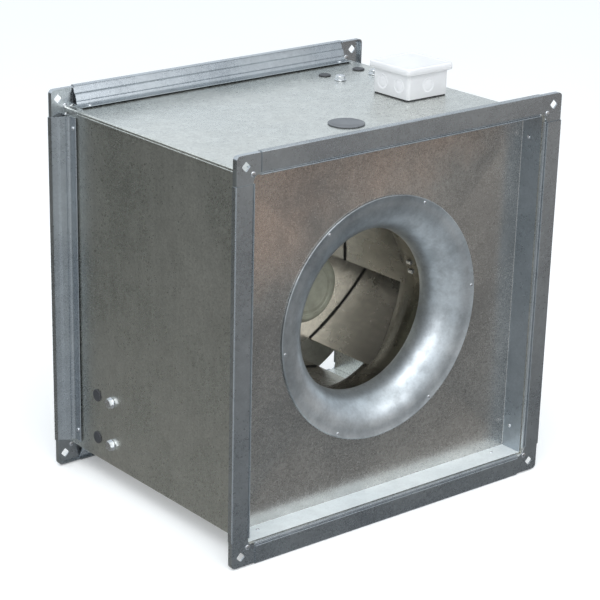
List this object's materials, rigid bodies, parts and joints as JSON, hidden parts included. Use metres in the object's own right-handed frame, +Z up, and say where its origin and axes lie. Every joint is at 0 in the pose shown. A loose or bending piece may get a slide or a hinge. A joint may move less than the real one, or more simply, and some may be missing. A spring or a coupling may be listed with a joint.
{
  "type": "inline duct fan",
  "caption": "Square in-line duct fan with slip-on flanges, a round inlet cone and a free-running backward-curved impeller on an external-rotor motor.",
  "frame": {"origin": "on the ground under the middle of the fan: the centre of the bounding box's bottom", "axes": "+Y is the way the air goes, from the inlet cone to the outlet, along the impeller's axis; +Z is up, with the junction box on top; +X is to the right when looking along the air's way"},
  "size_m": [0.56, 0.422, 0.578],
  "materials": {
    "casing": "galvanised, fine spangle, satin",
    "flange": "galvanised, rolled, satin",
    "inlet_plate": "galvanised, fine spangle, satin",
    "inlet_cone": "galvanised, spun, smudged satin",
    "impeller": "dark rolled sheet, semi-gloss",
    "rotor": "grey-olive paint, satin",
    "steel": "zinc plated",
    "winding": "varnished windings on steel laminations",
    "motor_flange": "die cast, matt",
    "rail": "galvanised, satin",
    "black_plastic": "dark grey moulded",
    "white_plastic": "white moulded, soft sheen",
    "terminal": "moulded"
  },
  "bodies": {
    "casing": {"casing_top_right_shell": "casing", "casing_bottom_left_shell": "casing", "inlet_flange_bar_bottom": "flange", "inlet_flange_bar_left": "flange", "inlet_flange_bar_top": "flange", "inlet_flange_bar_right": "flange", "inlet_flange_corner_bottom_left": "flange", "inlet_flange_corner_bottom_right": "flange", "inlet_flange_corner_top_left": "flange", "inlet_flange_corner_top_right": "flange", "outlet_flange_bar_bottom": "flange", "outlet_flange_bar_left": "flange", "outlet_flange_bar_top": "flange", "outlet_flange_bar_right": "flange", "outlet_flange_corner_bottom_left": "flange", "outlet_flange_corner_bottom_right": "flange", "outlet_flange_corner_top_left": "flange", "outlet_flange_corner_top_right": "flange", "inlet_plate": "inlet_plate", "inlet_cone": "inlet_cone", "motor_bearing_front": "steel", "motor_bearing_rear": "steel", "motor_stator": "winding", "motor_flange": "motor_flange", "motor_screw_1": "steel", "motor_screw_2": "steel", "motor_screw_3": "steel", "motor_screw_4": "steel", "motor_rail_upper": "rail", "motor_rail_lower": "rail", "rail_bolt_bottom_1": "steel", "hole_plug_bottom_1": "black_plastic", "rail_bolt_bottom_2": "steel", "hole_plug_bottom_2": "black_plastic", "rail_bolt_left_1": "steel", "hole_plug_left_1": "black_plastic", "rail_bolt_left_2": "steel", "hole_plug_left_2": "black_plastic", "rail_bolt_top_1": "steel", "hole_plug_top_1": "black_plastic", "rail_bolt_top_2": "steel", "hole_plug_top_2": "black_plastic", "rail_bolt_right_1": "steel", "hole_plug_right_1": "black_plastic", "rail_bolt_right_2": "steel", "hole_plug_right_2": "black_plastic", "cable_hole_plug": "black_plastic", "junction_box_base": "white_plastic", "terminal_block": "terminal"},
    "impeller": {"impeller_shroud": "impeller", "impeller_back_plate": "impeller", "impeller_blade_1": "impeller", "impeller_blade_2": "impeller", "impeller_blade_3": "impeller", "impeller_blade_4": "impeller", "impeller_blade_5": "impeller", "impeller_blade_6": "impeller", "motor_rotor_can": "rotor", "motor_shaft": "steel"},
    "box_lid": {"junction_box_lid": "white_plastic"}
  },
  "joints": [
    {"name": "impeller_spin", "type": "hinge", "parent": "casing", "child": "impeller", "pos_m": [0, 0.017, 0.28], "axis": [0, 1, 0], "continuous": true},
    {"name": "lid_lift", "type": "slide", "parent": "casing", "child": "box_lid", "axis": [0, 0, 1], "range_m": [0, 0.03]}
  ]
}
